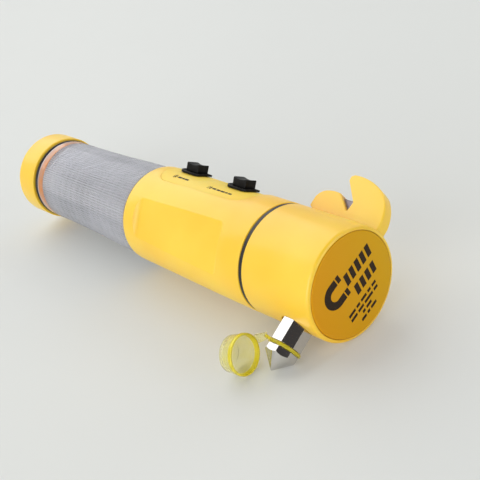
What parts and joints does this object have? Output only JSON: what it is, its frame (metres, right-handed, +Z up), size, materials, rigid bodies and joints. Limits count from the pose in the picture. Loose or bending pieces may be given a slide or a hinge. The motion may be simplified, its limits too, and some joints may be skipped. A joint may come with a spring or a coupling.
{
  "type": "led safety flare",
  "caption": "Hand torch with a side beacon, a magnetic end disc, a belt cutter fin, a pointed window hammer with a tethered guard cap, slide switches and screw-on ends.",
  "frame": {"origin": "centre of the magnetic base's outer face, on the torch's axis", "axes": "+Y along the torch from the magnetic base to the lamp, +Z up as the flare lies on its side on its cap and hammer"},
  "size_m": [0.09, 0.2215, 0.0497],
  "materials": {
    "yellow_plastic": "smooth moulded ABS with a soft gloss",
    "panel_plastic": "pale moulded panel",
    "amber_plastic": "glossy amber disc",
    "clear_plastic": "clear prismatic polycarbonate",
    "amber_clear": "tinted amber plastic",
    "black_plastic": "matt black",
    "white_plastic": "white moulded",
    "rubber": "black seal rubber",
    "polished_steel": "nickel plated and polished",
    "plain_steel": "brushed",
    "soft_vinyl": "translucent yellow soft vinyl",
    "ferrite": "sintered magnet",
    "circuit_board": "green board",
    "cell_wrap": "battery can",
    "reflector_metal": "metallised cup",
    "lamp_epoxy": "lamp package"
  },
  "bodies": {
    "grip": {"body_housing": "yellow_plastic", "switch_panel": "panel_plastic", "battery_carrier": "black_plastic", "battery_cell_1": "cell_wrap", "battery_cell_2": "cell_wrap", "battery_cell_3": "cell_wrap", "switch_board": "circuit_board", "front_contact_board": "circuit_board", "torch_slide_switch": "plain_steel", "beacon_slide_switch": "plain_steel", "beacon_lens": "clear_plastic", "beacon_tower": "white_plastic", "beacon_base_plate": "white_plastic", "amber_collar": "amber_clear", "beacon_lamps": "lamp_epoxy", "torch_lamp_board": "circuit_board", "torch_lamp": "lamp_epoxy", "reflector": "reflector_metal"},
    "torch_slider": {"torch_slider": "black_plastic"},
    "beacon_slider": {"beacon_slider": "black_plastic"},
    "tail_seal": {"tail_seal": "rubber"},
    "tail": {"tail_cap": "yellow_plastic", "cutter_blade": "plain_steel", "hammer_head": "polished_steel", "hammer_nut": "plain_steel", "magnet_cover": "amber_plastic", "magnet": "ferrite", "magnet_yoke": "plain_steel", "tail_contact_disc": "circuit_board", "tail_spring": "plain_steel"},
    "guard_ring": {"guard_ring": "soft_vinyl", "guard_strap": "soft_vinyl"},
    "guard_cap": {"guard_cap": "soft_vinyl"},
    "head_seal": {"head_seal": "rubber"},
    "head": {"head_bezel": "yellow_plastic", "front_window": "clear_plastic", "window_gasket": "rubber"}
  },
  "joints": [
    {"name": "torch_switch_slide", "type": "slide", "parent": "grip", "child": "torch_slider", "axis": [0, 1, 0], "range_m": [0, 0.004]},
    {"name": "beacon_switch_slide", "type": "slide", "parent": "grip", "child": "beacon_slider", "axis": [0, 1, 0], "range_m": [0, 0.004]},
    {"name": "tail_cap_travel", "type": "slide", "parent": "grip", "child": "tail_seal", "axis": [0, -1, 0], "range_m": [0, 0.0105]},
    {"name": "tail_cap_turn", "type": "hinge", "parent": "tail_seal", "child": "tail", "pos_m": [0, 0, 0], "axis": [0, -1, 0], "range_deg": [0, 1440]},
    {"name": "guard_ring_turn", "type": "hinge", "parent": "tail", "child": "guard_ring", "pos_m": [0, 0.014, 0], "axis": [-0.8721, 0, -0.4894], "continuous": true},
    {"name": "guard_cap_fold", "type": "hinge", "parent": "guard_ring", "child": "guard_cap", "pos_m": [-0.0312, 0.0238, -0.0147], "axis": [-0.0398, -0.2889, 0.9565], "range_deg": [0, 85.5], "deforming": ["guard_strap"]},
    {"name": "head_travel", "type": "slide", "parent": "grip", "child": "head_seal", "axis": [0, 1, 0], "range_m": [0, 0.008]},
    {"name": "head_turn", "type": "hinge", "parent": "head_seal", "child": "head", "pos_m": [0, 0.214, 0], "axis": [0, 1, 0], "range_deg": [0, 1080]}
  ],
  "couplings": [
    {"joint": "tail_cap_travel", "follows": "tail_cap_turn", "m_per_rad": 0.00039789},
    {"joint": "head_travel", "follows": "head_turn", "m_per_rad": 0.00039789}
  ]
}
